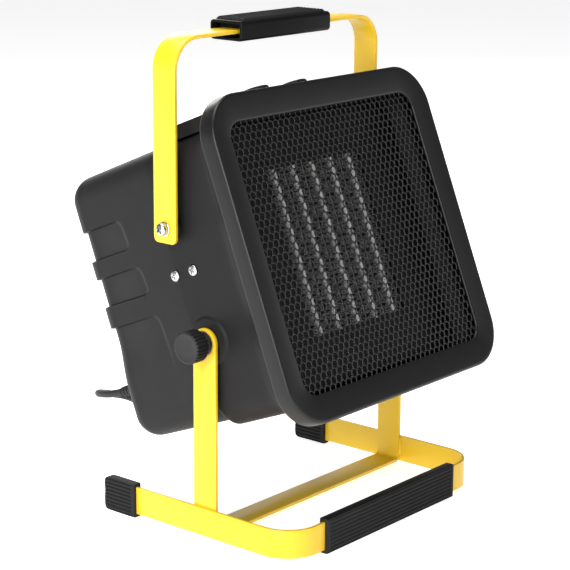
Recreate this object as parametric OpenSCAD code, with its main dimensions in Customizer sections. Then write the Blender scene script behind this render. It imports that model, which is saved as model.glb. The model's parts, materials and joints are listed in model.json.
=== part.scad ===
// Portable ceramic (PTC) fan heater: a black plastic housing with a square perforated front,
// carried between the uprights of a yellow flat-bar stand and topped by a flat-bar carry handle.
// Millimetres. +Z is up, the heater blows towards -Y, and the floor is Z = 0.

/* [Stand] */
// Width of the flat bar that the stand and handle are bent from
bar_w = 25; // [20:1:30]
// Thickness of the flat bar
bar_t = 3; // [2:0.5:4]
// Half the width over the two side bars of the base
base_half_w = 135; // [130:1:150]
// From the tilt axis forward to the front bar's outer face
base_front = 100; // [85:1:120]
// From the tilt axis back to the ends of the side bars
base_rear = 112; // [95:1:130]
// Outer radius of the base's front corners
base_corner_r = 32; // [20:1:45]
// Thickness of the rubber on the feet
rubber_t = 3; // [2:0.5:4]
// Length of each rear foot cap
cap_len = 37; // [25:1:50]
// Length of the front foot sleeve
sleeve_len = 184; // [100:2:190]
// Height of the tilt axis above the floor
pivot_z = 174.5; // [165:0.5:190]

/* [Heater body] */
// Backward tilt of the body at rest
tilt = 22; // [0:1:30]
// Half width of the body at its front part
body_half_w = 126; // [120:0.5:127]
// Half width of the body at its rear
rear_half_w = 114; // [108:1:120]
// Half height of the body
body_half_h = 120; // [110:1:125]
// Height of the body's centre above the tilt axis
body_rise = 50; // [45:1:55]
// From the tilt axis back to the rear wall
body_rear = 138; // [130:1:145]
// Radius of the body's long edges and rear corners
body_edge_r = 22; // [15:1:28]
// Wall thickness of the housing
wall = 3.2; // [2.5:0.1:4]

/* [Front] */
// Half width of the front frame
bezel_half_w = 147; // [142:1:150]
// Half height of the front frame
bezel_half_h = 141; // [136:1:145]
// Corner radius of the front frame
bezel_r = 38; // [30:1:45]
// From the tilt axis forward to the front face
bezel_front = 90; // [88:1:94]
// Depth of the front frame's rim
bezel_depth = 17; // [14:1:18]
// Half width of the grille opening
grille_half_w = 124; // [118:1:126]
// Half height of the grille opening
grille_half_h = 116.5; // [112:0.5:118]

/* [Handle] */
// Height of the handle's bolts above the tilt axis, along the body
handle_rise = 101; // [95:1:106]
// From the bolts up to the top of the handle bar
handle_len = 160.5; // [155:0.5:175]
// Outer radius of the handle's top bends
handle_bend_r = 28; // [20:1:35]
// Length of the grip
grip_len = 120; // [100:2:140]

/* [Knobs] */
// Radius of the two clamp knobs on the tilt axis
clamp_r = 14; // [12:0.5:15]
// Radius of the two control knobs
dial_r = 16; // [13:0.5:18]
// Distance of each control knob from the centre plane
dial_x = 26; // [22:1:32]

/* [Hidden] */
$fn = 64;
hull_fn = 32;

// Row origin: middle of the object's box, so the tilt axis lies in front of it
pivot_y = -34.25;
gap = 0.3;
run_fit = 0.05;
bar_z = rubber_t;
base_inner = base_half_w - bar_t;
upright_inner = base_inner - bar_t;
upright_bend_r = 6;
stud_r = 4;
hole_r = stud_r + run_fit;
boss_r = 20;
boss_x = body_half_w + 1.6;
front_step = 15;
flare_start = 46;
bezel_back = bezel_front - bezel_depth;
flare_half_w = bezel_half_w - 7;
body_top = body_rise + body_half_h;
belly = 5.5;

// Handle, measured from its bolts
handle_back = 2;
handle_half_w = 137;
handle_y = pivot_y + handle_rise * sin(tilt) + handle_back * cos(tilt);
handle_z = pivot_z + handle_rise * cos(tilt) - handle_back * sin(tilt);
handle_end_r = 5;
bolt_r = 3;
grip_w = 36;
grip_low = 9.5;
grip_high = 7.5;
grip_pocket = 10;

// Clamp knob, outwards from the upright
washer_t = 1.2;
hub_r = 9;
hub_len = 7;
knob_depth = 14.5;
flutes = 28;
washer_x = base_inner + gap;
hub_x = washer_x + washer_t;
knob_x = hub_x + hub_len;

// Control panel on the body's top
panel_half_w = 114;
panel_rise = 12;
panel_back = -6;
panel_ramp = 20;
dial_y = -41;
dial_base = 3.5;
dial_h = 16;
shaft_r = 3;
shaft_drop = 3.7;
collar_h = panel_rise + 1.5;
panel_top = body_top + panel_rise;

// Heating element
element_half_w = 64;
element_low = -22;
element_high = 125;
element_back = -34;
element_front = -58;
bar_count = 5;
ptc_w = 3;
bar_pitch = 2 * element_half_w / bar_count;
holder_h = 12;

// Fan
fan_r = 72;
fan_hub_r = 20;
duct_r = 75;
blade_count = 7;
motor_r = 30;

// Wiring loom, up the left side
loom_r = 2.4;
loom_x = -104;
loom_rise = 150;

// Rear cover
cover_half_w = 91;
cover_half_h = 94;
cover_t = 3;
cover_lap = 14;
cover_inset = 7;
screw_r = 1.8;
slot_rows = 12;
slot_pitch = 11;
slot_low = 4;

// Cord: leaves the rear cover, drops to the floor and ends in a coil behind the stand
cord_d = 7;
cord_r = cord_d / 2;
cord_x = -70;
cord_rise = -24;
relief_len = 39;
relief_end = body_rear + cover_t + relief_len;
cord_exit = [
    cord_x,
    relief_end * cos(tilt) + cord_rise * sin(tilt) + 0.1,
    pivot_z - relief_end * sin(tilt) + cord_rise * cos(tilt)
];
coil_at = [150, 240];
coil_lift = 1;
coil_r_in = 35;
coil_r_out = 42;
coil_layers = 3;
tie_t = 1;
tie_w = 4.5;
lead_route = [
    cord_exit, [-70, 170, 80.4], [-69, 182, 77.2], [-64.8, 194, 74.2], [-56.5, 204.2, 70.8],
    [-44.5, 210.6, 66.6], [-30.5, 213, 62], [-16, 213.2, 57], [-2, 213, 50.4], [11, 214, 41.5],
    [23.5, 217, 31], [35, 222, 21], [46, 229.5, 12.5], [57, 239, 6.2], [68, 250, 3.6], [82, 261, 3.5],
    [103, 272, 3.5], [126, 279.5, 4], [150, 282, 4.5]
];
tail_route = [
    [150, 275, 18.5], [161, 273.5, 19.8], [170, 268.5, 23.5], [177, 261.5, 29], [181.5, 253.5, 34.5],
    [183.6, 247, 37.6], [184, 240, 39.1]
];
plug_at = [184, 240, 39.1];
plug_r = 17;
plug_neck = 18;
plug_body = 25;
pin_len = 19;

/* ---------- helpers ---------- */

module in_body() {
    translate([0, pivot_y, pivot_z]) rotate([-tilt, 0, 0]) children();
}

module both_sides() {
    children();
    mirror([1, 0, 0]) children();
}

// Cylinder along +X from x0 to x1
module x_rod(r, x0, x1, r_end = -1) {
    translate([x0, 0, 0]) rotate([0, 90, 0])
        cylinder(h = x1 - x0, r1 = r, r2 = r_end < 0 ? r : r_end);
}

// Cylinder along -Y, the way the heater blows, from depth y0 to y1
module y_rod(r, y0, y1, r_end = -1) {
    translate([0, y0, 0]) rotate([90, 0, 0])
        cylinder(h = y0 - y1, r1 = r, r2 = r_end < 0 ? r : r_end);
}

module rounded_rect(w, h, r) {
    square([w - 2 * r, h], center = true);
    square([w, h - 2 * r], center = true);
    for (sx = [-1, 1], sz = [-1, 1]) translate([sx * (w / 2 - r), sz * (h / 2 - r)]) circle(r);
}

// Upright slab with rounded corners, from y0 forward to y1 (y1 < y0)
module slab(w, h, r, y0, y1, rise = body_rise) {
    translate([0, y0, rise]) rotate([90, 0, 0])
        linear_extrude(height = y0 - y1) rounded_rect(w, h, r);
}

// A quarter bend of flat bar lying in the XY plane, bar width along Z
module quarter_bend(r_out, width) {
    rotate_extrude(angle = 90) translate([r_out - bar_t, 0]) square([bar_t, width]);
}

function unit(v) = v / norm(v);
function way(p, i) = unit(p[min(i + 1, len(p) - 1)] - p[max(i - 1, 0)]);
function across(t) = unit(cross(t, [0, 0, 1]));
function ring(p, i, r, sides) = let (t = way(p, i), a = across(t), b = cross(a, t))
    [for (k = [0 : sides - 1]) p[i] + r * (cos(360 * k / sides) * a + sin(360 * k / sides) * b)];

module swept_tube(p, r, sides = 8) {
    n = len(p);
    rings = [for (i = [0 : n - 1]) each ring(p, i, r, sides)];
    side_faces = [
        for (i = [0 : n - 2], k = [0 : sides - 1])
            let (m = (k + 1) % sides, a = i * sides, b = a + sides)
                [a + k, a + m, b + m, b + k]
    ];
    first_cap = [[for (k = [sides - 1 : -1 : 0]) k]];
    last_cap = [[for (k = [0 : sides - 1]) (n - 1) * sides + k]];
    polyhedron(points = rings, faces = concat(side_faces, first_cap, last_cap), convexity = 4);
}

/* ---------- stand ---------- */

module base_frame() {
    straight_x = base_half_w - base_corner_r;
    front_y = base_front - base_corner_r;
    color("gold") translate([0, pivot_y, bar_z]) {
        both_sides() {
            translate([base_inner, -front_y, 0]) cube([bar_t, front_y + base_rear, bar_w]);
            translate([straight_x, -front_y, 0]) rotate([0, 0, -90]) quarter_bend(base_corner_r, bar_w);
        }
        translate([-straight_x, -base_front, 0]) cube([2 * straight_x, bar_t, bar_w]);
    }
}

module upright_bracket() {
    bend_z = bar_z + upright_bend_r;
    color("gold") translate([0, pivot_y, 0]) {
        translate([upright_bend_r - base_inner, -bar_w / 2, bar_z])
            cube([2 * (base_inner - upright_bend_r), bar_w, bar_t]);
        both_sides() {
            translate([base_inner - upright_bend_r, bar_w / 2, bend_z]) rotate([90, 90, 0])
                quarter_bend(upright_bend_r, bar_w);
            difference() {
                union() {
                    translate([upright_inner, -bar_w / 2, bend_z])
                        cube([bar_t, bar_w, pivot_z - bend_z]);
                    translate([0, 0, pivot_z]) x_rod(bar_w / 2, upright_inner, base_inner);
                }
                translate([0, 0, pivot_z]) x_rod(hole_r, upright_inner - 1, base_inner + 1);
            }
        }
    }
}

// Fillet welds where the uprights meet the side bars
module weld_beads() {
    bead = 2.2;
    bead_low = bar_z + upright_bend_r;
    color("goldenrod") translate([0, pivot_y, 0])
        both_sides() for (side = [-1, 1])
            translate([base_inner, side * bar_w / 2, bead_low])
                linear_extrude(height = bar_w - upright_bend_r - 1)
                    polygon([[0, 0], [-bead, 0], [0, side * bead]]);
}

module foot_cap() {
    cap_front = base_rear + rubber_t + 1 - cap_len;
    corner = 5;
    color([0.12, 0.12, 0.12]) translate([0, pivot_y, 0]) difference() {
        translate([base_inner - rubber_t, cap_front, 0]) rotate([90, 0, 90])
            linear_extrude(height = bar_t + 2 * rubber_t) union() {
                square([cap_len - corner, bar_w + 2 * rubber_t]);
                translate([0, corner]) square([cap_len, bar_w + 2 * rubber_t - 2 * corner]);
                for (z = [corner, bar_w + 2 * rubber_t - corner])
                    translate([cap_len - corner, z]) circle(corner);
            }
        translate([base_inner, cap_front - 1, bar_z]) cube([bar_t, base_rear - cap_front + 1, bar_w]);
    }
}

module foot_cap_left() {
    mirror([1, 0, 0]) foot_cap();
}

module foot_cap_right() {
    foot_cap();
}

module front_foot_sleeve() {
    color([0.12, 0.12, 0.12]) translate([0, pivot_y - base_front, 0]) difference() {
        translate([-sleeve_len / 2, -rubber_t, 0])
            cube([sleeve_len, bar_t + 2 * rubber_t, bar_w + 2 * rubber_t]);
        translate([-sleeve_len / 2 - 1, 0, bar_z]) cube([sleeve_len + 2, bar_t, bar_w]);
    }
}

/* ---------- tilt clamps ---------- */

module clamp_knob() {
    flute_r = 1.1;
    color([0.15, 0.15, 0.16]) in_body() difference() {
        union() {
            x_rod(hub_r, hub_x, knob_x);
            x_rod(clamp_r, knob_x, knob_x + knob_depth);
        }
        for (a = [0 : 360 / flutes : 359])
            rotate([a, 0, 0]) translate([0, clamp_r + flute_r / 3, 0])
                x_rod(flute_r, knob_x - 1, knob_x + knob_depth + 1, flute_r);
        x_rod(clamp_r - 3, knob_x + knob_depth - 1, knob_x + knob_depth + 1);
        x_rod(stud_r, hub_x - 1, knob_x + 9);
    }
}

module clamp_knob_left() {
    mirror([1, 0, 0]) clamp_knob();
}

module clamp_knob_right() {
    clamp_knob();
}

module clamp_stud() {
    color("silver") in_body() x_rod(stud_r, body_half_w - 12, knob_x + 9);
}

module clamp_stud_left() {
    mirror([1, 0, 0]) clamp_stud();
}

module clamp_stud_right() {
    clamp_stud();
}

module clamp_washer() {
    color("silver") in_body() difference() {
        x_rod(hub_r + 1.5, washer_x, hub_x);
        x_rod(stud_r, washer_x - 1, hub_x + 1);
    }
}

module clamp_washer_left() {
    mirror([1, 0, 0]) clamp_washer();
}

module clamp_washer_right() {
    clamp_washer();
}

// Fibre washers between the housing's bosses and the uprights
module friction_washers() {
    color("dimgray") in_body() both_sides() difference() {
        x_rod(bar_w / 2 - 1, boss_x, upright_inner - gap);
        x_rod(hole_r, boss_x - 1, upright_inner);
    }
}

module pivot_inserts() {
    color("silver") in_body() both_sides() difference() {
        x_rod(7, body_half_w - 14, boss_x);
        x_rod(hole_r, body_half_w - 15, boss_x + 1);
    }
}

/* ---------- housing ---------- */

// The body's closed outer form, shrunk all round by inset
module body_form(inset) {
    r = body_edge_r - inset;
    w_front = 2 * (body_half_w - inset);
    h = 2 * (body_half_h - inset);
    h_front = h + belly;
    hull() {
        for (sx = [-1, 1], sz = [-1, 1])
            translate([
                sx * (rear_half_w - body_edge_r), body_rear - body_edge_r,
                body_rise + sz * (body_half_h - body_edge_r)
            ]) sphere(r, $fn = hull_fn);
        slab(w_front, h, r, front_step + 1, front_step, $fn = hull_fn);
    }
    slab(w_front, h, r, front_step + 0.5, front_step - 8, $fn = hull_fn);
    hull() {
        slab(w_front, h, r, front_step - 1, front_step - 2, $fn = hull_fn);
        slab(w_front, h_front, r, front_step - 8, front_step - 9, body_rise - belly / 2, $fn = hull_fn);
    }
    slab(w_front, h_front, r, front_step - 8.5, -flare_start, body_rise - belly / 2, $fn = hull_fn);
    hull() {
        slab(w_front, h_front, r, -flare_start + 0.5, -flare_start, body_rise - belly / 2, $fn = hull_fn);
        slab(
            2 * (flare_half_w - inset), h_front, r + 4, -bezel_back + 0.5, -bezel_back,
            body_rise - belly / 2, $fn = hull_fn
        );
    }
}

// One shallow band pressed into each tapering side: its height, and how far forward it reaches
module side_band(low, high, reach) {
    lean = atan((body_half_w - rear_half_w) / (body_rear - body_edge_r - front_step));
    sink = 1.5;
    slant = 4;
    band_end = body_rear + 2;
    both_sides()
        translate([body_half_w - sink, front_step, 0]) rotate([0, 0, lean])
            rotate([90, 0, 90]) linear_extrude(height = 20)
                polygon([
                    [reach, high], [reach - slant, low], [band_end, low - 4], [band_end, high]
                ]);
}

module housing() {
    color([0.17, 0.17, 0.18]) in_body() difference() {
        union() {
            difference() {
                body_form(0);
                body_form(wall);
                slab(
                    2 * (flare_half_w - wall), 2 * (body_half_h - wall) + belly, body_edge_r,
                    -bezel_back + 2, -bezel_back - 1, body_rise - belly / 2
                );
                side_band(96, 122.5, 54);
                side_band(54, 78.5, 46);
                side_band(-30, 33.5, 40);
                slab(
                    2 * (cover_half_w - cover_lap), 2 * (cover_half_h - cover_lap), 8,
                    body_rear + 1, body_rear - wall - 1
                );
                translate([cord_x, 0, cord_rise]) y_rod(7, body_rear + 1, body_rear - wall - 1);
                at_cover_corners() y_rod(screw_r, body_rear + 1, body_rear - wall - 1);
            }
            both_sides() {
                x_rod(boss_r, body_half_w - 1, boss_x);
                x_rod(10, body_half_w - 14, body_half_w - 1);
                translate([0, handle_back, handle_rise]) x_rod(8, body_half_w - 12, body_half_w - 1);
            }
        }
        both_sides() {
            x_rod(7, body_half_w - 15, boss_x + 1);
            translate([0, handle_back, handle_rise]) x_rod(bolt_r, body_half_w - 13, body_half_w + 1);
            for (d = [16, -6]) translate([0, d, 61]) x_rod(2, body_half_w - 6, body_half_w + 1);
        }
        // Window under the control panel
        translate([-55, -64, body_top - 8]) cube([110, 46, 12]);
    }
}

module at_cover_corners() {
    for (sx = [-1, 1], sz = [-1, 1])
        translate([
            sx * (cover_half_w - cover_inset), 0, body_rise + sz * (cover_half_h - cover_inset)
        ]) children();
}

module rear_cover() {
    color([0.15, 0.15, 0.16]) in_body() difference() {
        slab(2 * cover_half_w, 2 * cover_half_h, 10, body_rear + cover_t, body_rear);
        for (i = [0 : slot_rows - 1], sx = [-1, 1])
            translate([sx * 38 - 33, body_rear - 1, slot_low + i * slot_pitch - 3]) cube([66, 5, 6]);
        translate([cord_x, 0, cord_rise]) y_rod(6, body_rear + 4, body_rear - 1);
        at_cover_corners() y_rod(screw_r, body_rear + 4, body_rear - 1);
    }
}

module rear_cover_screws() {
    color("silver") in_body() at_cover_corners() {
        y_rod(screw_r, body_rear + cover_t, body_rear - wall);
        y_rod(2.4, body_rear + cover_t + 1.8, body_rear + cover_t, 3.4);
    }
}

module bezel() {
    chamfer = 3;
    lip = 4;
    color([0.14, 0.14, 0.15]) in_body() difference() {
        hull() {
            slab(
                2 * bezel_half_w, 2 * bezel_half_h, bezel_r,
                -bezel_back, -bezel_front + chamfer, $fn = hull_fn
            );
            slab(
                2 * (bezel_half_w - chamfer), 2 * (bezel_half_h - chamfer), bezel_r - chamfer,
                -bezel_back - 1, -bezel_front, $fn = hull_fn
            );
        }
        slab(2 * grille_half_w, 2 * grille_half_h, 15, -bezel_back + 1, -bezel_front - 1);
        slab(
            2 * (grille_half_w + lip), 2 * (grille_half_h + lip), 18,
            -bezel_back + 1, -bezel_front + 4.6
        );
        for (sx = [-1, 1], sz = [-1, 1])
            translate([sx * 134, 0, body_rise + sz * 108]) y_rod(1.5, -bezel_back + 1, -bezel_back - 10);
    }
}

// Screws that hold the front frame from behind, one near each corner
module bezel_screws() {
    color("silver") in_body() for (sx = [-1, 1], sz = [-1, 1])
        translate([sx * 134, 0, body_rise + sz * 108]) y_rod(1.5, -bezel_back, -bezel_back - 10);
}

// Perforated sheet behind the frame's opening
module grille() {
    pitch = 21;
    hole = 7.2;
    color([0.08, 0.08, 0.09]) in_body() difference() {
        slab(
            2 * (grille_half_w + 4), 2 * (grille_half_h + 4), 18,
            -bezel_front + 5.8, -bezel_front + 4.6
        );
        for (row = [-6 : 6], col = [-5 - (row % 2 == 0 ? 0 : 0.5) : 6])
            if (abs(col) * pitch < grille_half_w - hole)
                translate([col * pitch, 0, body_rise + row * pitch * sin(60)])
                    y_rod(hole, -bezel_front + 8, -bezel_front + 4, $fn = 36);
    }
}

module side_screws() {
    color("silver") in_body() both_sides() for (d = [16, -6]) translate([0, d, 61]) {
        x_rod(2, body_half_w - 6, body_half_w);
        x_rod(4.8, body_half_w, body_half_w + 2.6, 3.4);
    }
}

/* ---------- controls ---------- */

module panel_profile(inset) {
    polygon([
        [-panel_back - inset * 1.5, body_top], [-panel_ramp, panel_top - inset],
        [-bezel_back, panel_top - inset], [-bezel_back, body_top]
    ]);
}

// Raised panel behind the front frame that carries both control knobs
module control_panel() {
    color([0.17, 0.17, 0.18]) in_body() difference() {
        rotate([90, 0, 90]) linear_extrude(height = 2 * panel_half_w, center = true) panel_profile(0);
        rotate([90, 0, 90]) linear_extrude(height = 2 * (panel_half_w - 2.5), center = true)
            translate([0, -0.01]) panel_profile(2.5);
        for (sx = [-1, 1]) translate([sx * dial_x, dial_y, body_top]) cylinder(h = 20, r = shaft_r + 1);
    }
}

module dial_knob(x) {
    grip_r = dial_r - 3;
    color([0.12, 0.12, 0.13]) in_body() translate([x, dial_y, panel_top + 1]) difference() {
        union() {
            cylinder(h = dial_base, r = dial_r);
            linear_extrude(height = dial_h) difference() {
                circle(grip_r);
                for (a = [0 : 20 : 359]) rotate([0, 0, a]) translate([grip_r + 0.5, 0]) circle(1.2);
            }
        }
        translate([0, 0, -1]) cylinder(h = 12, r = shaft_r);
    }
}

module dial_shaft(x) {
    color("silver") in_body() translate([x, dial_y, body_top - shaft_drop])
        cylinder(h = panel_rise + 12 + shaft_drop, r = shaft_r);
}

module thermostat_knob() {
    dial_knob(-dial_x);
}

module selector_knob() {
    dial_knob(dial_x);
}

module thermostat_shaft() {
    dial_shaft(-dial_x);
}

module selector_shaft() {
    dial_shaft(dial_x);
}

// Capillary thermostat: a box with a bearing collar, hung under the panel
module thermostat_body() {
    color("gainsboro") in_body() translate([-dial_x, dial_y, body_top]) difference() {
        union() {
            translate([-20, -16, -30]) cube([40, 32, 26]);
            translate([0, 0, -4]) cylinder(h = collar_h, r = 6);
        }
        translate([0, 0, -4]) cylinder(h = collar_h + 1, r = shaft_r + run_fit);
    }
}

module selector_switch() {
    color([0.2, 0.2, 0.2]) in_body() translate([dial_x, dial_y, body_top]) difference() {
        union() {
            translate([0, 0, -24]) cylinder(h = 20, r = 17);
            translate([0, 0, -4]) cylinder(h = collar_h, r = 6);
            for (a = [0 : 90 : 359]) rotate([0, 0, a]) translate([10, -3, -31]) cube([0.8, 6, 7]);
        }
        translate([0, 0, -4]) cylinder(h = collar_h + 1, r = shaft_r + run_fit);
    }
}

/* ---------- heating element ---------- */

// Steel plate round the element that makes all the air pass through it
module baffle_plate() {
    color([0.1, 0.1, 0.1]) in_body() difference() {
        slab(242, 232, 20, element_front, element_front - 1.5);
        translate([-element_half_w, element_front - 3, element_low])
            cube([2 * element_half_w, 6, element_high - element_low]);
    }
}

// Flat tubes with the ceramic heating stones inside, one per column
module ptc_bars() {
    color("white") in_body() for (i = [0 : bar_count - 1])
        translate([-element_half_w + (i + 0.5) * bar_pitch - ptc_w / 2, element_front, element_low])
            cube([ptc_w, element_back - element_front, element_high - element_low]);
}

// Blocks of folded aluminium fins on both sides of each bar, with a gap where two columns meet
module heater_fins() {
    fin_w = (bar_pitch - ptc_w) / 2 - 0.4;
    color("silver") in_body() for (i = [0 : bar_count - 1], side = [-1, 1])
        translate([
            -element_half_w + (i + 0.5) * bar_pitch + side * (ptc_w / 2 + fin_w / 2) - fin_w / 2,
            element_front, element_low
        ]) cube([fin_w, element_back - element_front, element_high - element_low]);
}

module element_holders() {
    color([0.25, 0.25, 0.25]) in_body() for (z = [element_low - holder_h, element_high])
        translate([-element_half_w - 4, element_front, z])
            cube([2 * element_half_w + 8, element_back - element_front + 2, holder_h]);
}

module thermal_cutout() {
    color("silver") in_body() translate([56, -46, element_high + holder_h]) {
        cylinder(h = 6, r = 8);
        for (sx = [-1, 1]) translate([sx * 4 - 0.4, -3, 6]) cube([0.8, 6, 6]);
    }
}

/* ---------- fan ---------- */

module fan_duct() {
    color([0.1, 0.1, 0.1]) in_body() translate([0, 0, body_rise]) difference() {
        union() {
            translate([0, 0, -body_rise]) slab(238, 232, 18, 15, 12);
            y_rod(duct_r + 3, 50, 13);
        }
        y_rod(duct_r, 51, 10);
        translate([loom_x, 0, loom_rise - body_rise]) y_rod(loom_r + 1.2, 16, 11);
    }
}

module motor_bracket() {
    color("silver") in_body() translate([0, 0, body_rise]) difference() {
        union() {
            y_rod(26, 53, 50);
            for (a = [30 : 120 : 269]) rotate([0, a, 0]) translate([-6, 50, 20]) cube([12, 3, 57]);
        }
        y_rod(8, 54, 49);
    }
}

module fan_motor() {
    color("dimgray") in_body() translate([0, 0, body_rise]) difference() {
        union() {
            y_rod(motor_r, 98, 53);
            y_rod(8, 53, 49);
            y_rod(10, 102, 98);
        }
        y_rod(shaft_r + run_fit, 96, 48);
    }
}

module motor_shaft() {
    color("silver") in_body() translate([0, 0, body_rise]) y_rod(shaft_r, 94, 22);
}

module fan_impeller() {
    blade_lean = 34;
    color([0.2, 0.2, 0.2]) in_body() translate([0, 0, body_rise]) difference() {
        union() {
            y_rod(fan_hub_r, 44, 20);
            for (i = [0 : blade_count - 1]) rotate([0, i * 360 / blade_count, 0])
                intersection() {
                    translate([0, 32, fan_hub_r - 2]) rotate([0, 0, blade_lean])
                        translate([-17, -0.9, 0]) cube([34, 1.8, fan_r - fan_hub_r + 2]);
                    y_rod(fan_r, 46, 18);
                }
        }
        y_rod(shaft_r, 45, 19);
    }
}

/* ---------- wiring ---------- */

module terminal_block() {
    color("beige") in_body() translate([-88, 84, -44]) cube([36, 16, 14]);
}

// Main loom: from the terminal block up the side to the switches, and across to the element
module wiring() {
    color("maroon") in_body() {
        translate([0, 92, -37]) x_rod(loom_r, loom_x, -88);
        translate([loom_x, 92, -37]) sphere(loom_r);
        translate([loom_x, 92, -37]) cylinder(h = loom_rise + 37, r = loom_r);
        translate([loom_x, 92, loom_rise]) sphere(loom_r);
        translate([loom_x, 0, loom_rise]) y_rod(loom_r, 92, dial_y);
        translate([loom_x, dial_y, loom_rise]) sphere(loom_r);
        translate([0, dial_y, loom_rise]) x_rod(loom_r, loom_x, -dial_x - 20);
    }
}

// Bend protector with a flange against the rear cover
module strain_relief() {
    color([0.12, 0.12, 0.12]) in_body() translate([cord_x, 0, cord_rise]) {
        y_rod(6, body_rear + cover_t, body_rear - 3);
        y_rod(9, body_rear + cover_t + 3, body_rear + cover_t);
        y_rod(4.4, relief_end, body_rear + cover_t + 3, 6.5);
    }
}

/* ---------- handle ---------- */

module handle_strap() {
    flat_half = handle_half_w - handle_bend_r;
    side_h = handle_len - handle_bend_r;
    foot = bar_w / 2;
    color("gold") translate([0, handle_y, handle_z]) {
        translate([-flat_half, -bar_w / 2, handle_len - bar_t]) cube([2 * flat_half, bar_w, bar_t]);
        both_sides() {
            translate([flat_half, bar_w / 2, side_h]) rotate([90, 0, 0]) quarter_bend(handle_bend_r, bar_w);
            difference() {
                translate([handle_half_w - bar_t, 0, 0]) rotate([90, 0, 90])
                    linear_extrude(height = bar_t) union() {
                        translate([-bar_w / 2, handle_end_r - foot])
                            square([bar_w, side_h + foot - handle_end_r]);
                        translate([handle_end_r - bar_w / 2, -foot]) square([bar_w - 2 * handle_end_r, foot]);
                        for (sy = [-1, 1])
                            translate([sy * (bar_w / 2 - handle_end_r), handle_end_r - foot])
                                circle(handle_end_r);
                    }
                x_rod(bolt_r + run_fit, handle_half_w - bar_t - 1, handle_half_w + 1);
            }
        }
    }
}

// Hollow moulded grip round the top bar, open at both ends
module handle_grip() {
    strap_low = handle_len - bar_t;
    color([0.13, 0.13, 0.14]) translate([0, handle_y, handle_z]) difference() {
        translate([-grip_len / 2, -grip_w / 2, handle_len - grip_low])
            cube([grip_len, grip_w, grip_low + grip_high]);
        translate([-grip_len / 2 - 1, -bar_w / 2, strap_low]) cube([grip_len + 2, bar_w, bar_t]);
        for (sx = [-1, 1])
            translate([
                sx * (grip_len / 2 - grip_pocket / 2 + 0.5) - grip_pocket / 2 - 0.5,
                -grip_w / 2 + 2.5, handle_len - grip_low + 2.5
            ]) cube([grip_pocket + 1, grip_w - 5, grip_low + grip_high - 5]);
    }
}

// Raised pad on top of the grip, ribbed along its length
module grip_pad() {
    pad_half = grip_len / 2 - 5;
    pad_w = 30;
    ribs = 8;
    rib_pitch = pad_w / ribs;
    color([0.1, 0.1, 0.1]) translate([0, handle_y, handle_z + handle_len + grip_high]) {
        translate([-pad_half, -pad_w / 2, 0]) cube([2 * pad_half, pad_w, 1.5]);
        for (i = [0 : ribs - 1])
            translate([-pad_half, -pad_w / 2 + (i + 0.25) * rib_pitch, 1.5])
                cube([2 * pad_half, rib_pitch / 2, 1.2]);
    }
}

// Everything on the handle's bolts is set out from the outer face of the strap
module at_bolts() {
    translate([0, handle_y, handle_z]) both_sides() children();
}

module handle_spacers() {
    color([0.12, 0.12, 0.12]) at_bolts() difference() {
        x_rod(8, body_half_w, handle_half_w - bar_t - gap);
        x_rod(bolt_r, body_half_w - 1, handle_half_w);
    }
}

module handle_washers() {
    color("silver") at_bolts() difference() {
        x_rod(6.3, handle_half_w + gap, handle_half_w + gap + 1.2);
        x_rod(bolt_r, handle_half_w, handle_half_w + 3);
    }
}

module handle_spring_washers() {
    color("silver") at_bolts() difference() {
        x_rod(5.3, handle_half_w + gap + 1.2, handle_half_w + gap + 2.8);
        x_rod(bolt_r, handle_half_w, handle_half_w + 4);
    }
}

module handle_bolts() {
    head_x = handle_half_w + gap + 2.8;
    color("silver") at_bolts() {
        x_rod(bolt_r, body_half_w - 12, head_x);
        x_rod(5.6, head_x, head_x + 2);
        x_rod(5.6, head_x + 2, head_x + 4.2, 3.4);
    }
}

/* ---------- cord ---------- */

module cord_lead() {
    color([0.1, 0.1, 0.1]) translate([0, pivot_y, 0]) swept_tube(lead_route, cord_r, 10);
}

module cord_tail() {
    color([0.1, 0.1, 0.1]) translate([0, pivot_y, 0]) swept_tube(tail_route, cord_r, 10);
}

module cord_coil() {
    coil_h = coil_layers * cord_d;
    coil_w = coil_r_out - coil_r_in + cord_d;
    color([0.1, 0.1, 0.1]) translate([coil_at[0], pivot_y + coil_at[1], coil_lift])
        rotate_extrude() translate([coil_r_in - cord_r + coil_w / 2, coil_h / 2])
            rounded_rect(coil_w, coil_h, cord_r - 0.1);
}

// Band round the coil's turns
module cord_tie() {
    coil_h = coil_layers * cord_d;
    coil_w = coil_r_out - coil_r_in + cord_d;
    mid_r = (coil_r_in + coil_r_out) / 2;
    color("dimgray") translate([
        coil_at[0] - mid_r, pivot_y + coil_at[1], coil_lift + coil_h / 2
    ]) difference() {
        cube([coil_w + 2 * tie_t, tie_w, coil_h + 2 * tie_t], center = true);
        cube([coil_w, tie_w + 1, coil_h], center = true);
    }
}

module at_plug() {
    translate([0, pivot_y, 0]) translate(plug_at) rotate([90, 0, 0]) children();
}

module plug() {
    color([0.12, 0.12, 0.12]) at_plug() {
        cylinder(h = plug_neck, r1 = 4.6, r2 = 9);
        translate([0, 0, plug_neck]) cylinder(h = 6, r1 = 11, r2 = plug_r);
        translate([0, 0, plug_neck + 6]) cylinder(h = plug_body - 6, r = plug_r);
    }
}

module plug_pins() {
    color("silver") at_plug()
        for (sx = [-1, 1]) translate([sx * 9.5, 0, plug_neck + plug_body]) cylinder(h = pin_len, r = 2.4);
}

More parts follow.
